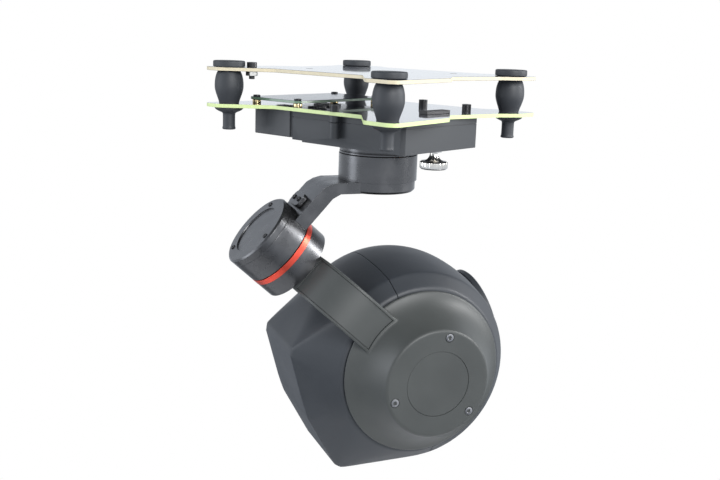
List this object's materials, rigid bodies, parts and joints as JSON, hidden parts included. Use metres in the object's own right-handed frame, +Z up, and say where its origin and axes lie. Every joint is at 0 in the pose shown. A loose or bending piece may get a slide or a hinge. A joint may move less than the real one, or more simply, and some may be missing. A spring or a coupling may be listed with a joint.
{
  "type": "camera gimbal",
  "caption": "Three-axis camera gimbal: damped twin-plate base, three motor stages in line with a ball-shaped camera head.",
  "frame": {"origin": "on the yaw axis, at the top face of the upper plate, the middle of the airframe screw holes", "axes": "+Y is the flight direction, +X to the right seen from above with +Y ahead, +Z up; the rest pose is the pose in the picture, with the yaw stage turned 27.5 degrees to the right and the camera 16 degrees up"},
  "size_m": [0.1178, 0.1223, 0.1809],
  "materials": {
    "glossy_plate": "glossy, smooth",
    "damper_rubber": "matte rubber",
    "black_screw": "black oxide",
    "nickel": "bright nickel plate",
    "steel": "turned steel",
    "case_black": "fine satin moulding",
    "anodised_black": "black anodised, satin",
    "arm_grey": "warm grey anodised, fine blasted",
    "red_anodised": "red anodised",
    "shell_grey": "soft satin moulding",
    "circuit_board": "solder mask",
    "chip_black": "moulded epoxy",
    "brass_spacer": "turned brass",
    "copper_wire": "enamelled winding wire",
    "motor_iron": "stacked laminations",
    "magnet": "nickel-plated magnet",
    "bright_aluminium": "milled",
    "lens_black": "gloss black",
    "lens_glass": "coated glass"
  },
  "bodies": {
    "airframe_plate": {"upper_plate": "glossy_plate", "damper_rear_left": "damper_rubber", "damper_rear_right": "damper_rubber", "damper_front_left": "damper_rubber", "damper_front_right": "damper_rubber", "safety_screw": "black_screw", "safety_nut": "nickel"},
    "base": {"lower_plate": "glossy_plate", "electronics_case": "case_black", "side_box": "case_black", "case_screws": "black_screw", "controller_board": "circuit_board", "controller_parts": "chip_black", "signal_board": "circuit_board", "signal_board_spacers": "brass_spacer", "signal_board_screws": "black_screw", "signal_board_chips": "chip_black", "plate_connector": "chip_black", "yaw_flange": "anodised_black", "yaw_flange_screws": "black_screw", "yaw_stator": "motor_iron", "yaw_windings": "copper_wire", "yaw_bearings": "steel"},
    "thumb_screw_body": {"thumb_screw": "nickel"},
    "yaw_stage": {"yaw_bell": "anodised_black", "yaw_magnets": "magnet", "yaw_shaft": "steel", "yaw_arm": "anodised_black", "arm_cable_cover": "anodised_black", "arm_cable_cover_screws": "black_screw", "roll_motor_housing": "anodised_black", "roll_motor_cap": "anodised_black", "roll_cap_screws": "black_screw", "roll_stator": "motor_iron", "roll_windings": "copper_wire", "roll_bearings": "steel"},
    "roll_stage": {"roll_bell": "anodised_black", "roll_red_ring": "red_anodised", "roll_magnets": "magnet", "roll_shaft": "steel", "roll_arm": "arm_grey", "arm_strip_cover": "arm_grey", "cover_badge": "arm_grey", "cover_screws": "steel", "pitch_base": "anodised_black", "pitch_stator": "motor_iron", "pitch_windings": "copper_wire", "pitch_bearings": "steel"},
    "camera_head": {"pitch_bell": "anodised_black", "pitch_magnets": "magnet", "pitch_shaft": "steel", "front_shell": "shell_grey", "rear_shell": "shell_grey", "head_frame": "bright_aluminium", "lens_bezel": "anodised_black", "lens_window": "lens_glass", "camera_module": "chip_black", "lens_barrel": "lens_black", "sensor_board": "circuit_board"}
  },
  "joints": [
    {"name": "damper_travel", "type": "slide", "parent": "airframe_plate", "child": "base", "axis": [0, 0, 1], "range_m": [-0.003, 0.002], "stiffness_N_per_m": 4000, "springref_m": 0.00118, "deforming": ["damper_rear_left", "damper_rear_right", "damper_front_left", "damper_front_right"]},
    {"name": "thumb_screw_turn", "type": "hinge", "parent": "base", "child": "thumb_screw_body", "pos_m": [0.036, -0.006, -0.035], "axis": [0, 0, 1], "continuous": true},
    {"name": "yaw", "type": "hinge", "parent": "base", "child": "yaw_stage", "pos_m": [0, 0, -0.04], "axis": [0, 0, 1], "range_deg": [-122.5, 177.5]},
    {"name": "roll", "type": "hinge", "parent": "yaw_stage", "child": "roll_stage", "pos_m": [0.00416, 0.00798, -0.12831], "axis": [0.3431, 0.6592, -0.6691], "range_deg": [-45, 45]},
    {"name": "pitch", "type": "hinge", "parent": "roll_stage", "child": "camera_head", "pos_m": [0.00416, 0.00798, -0.12831], "axis": [0.887, -0.4617, 0], "range_deg": [-131, 29]}
  ]
}
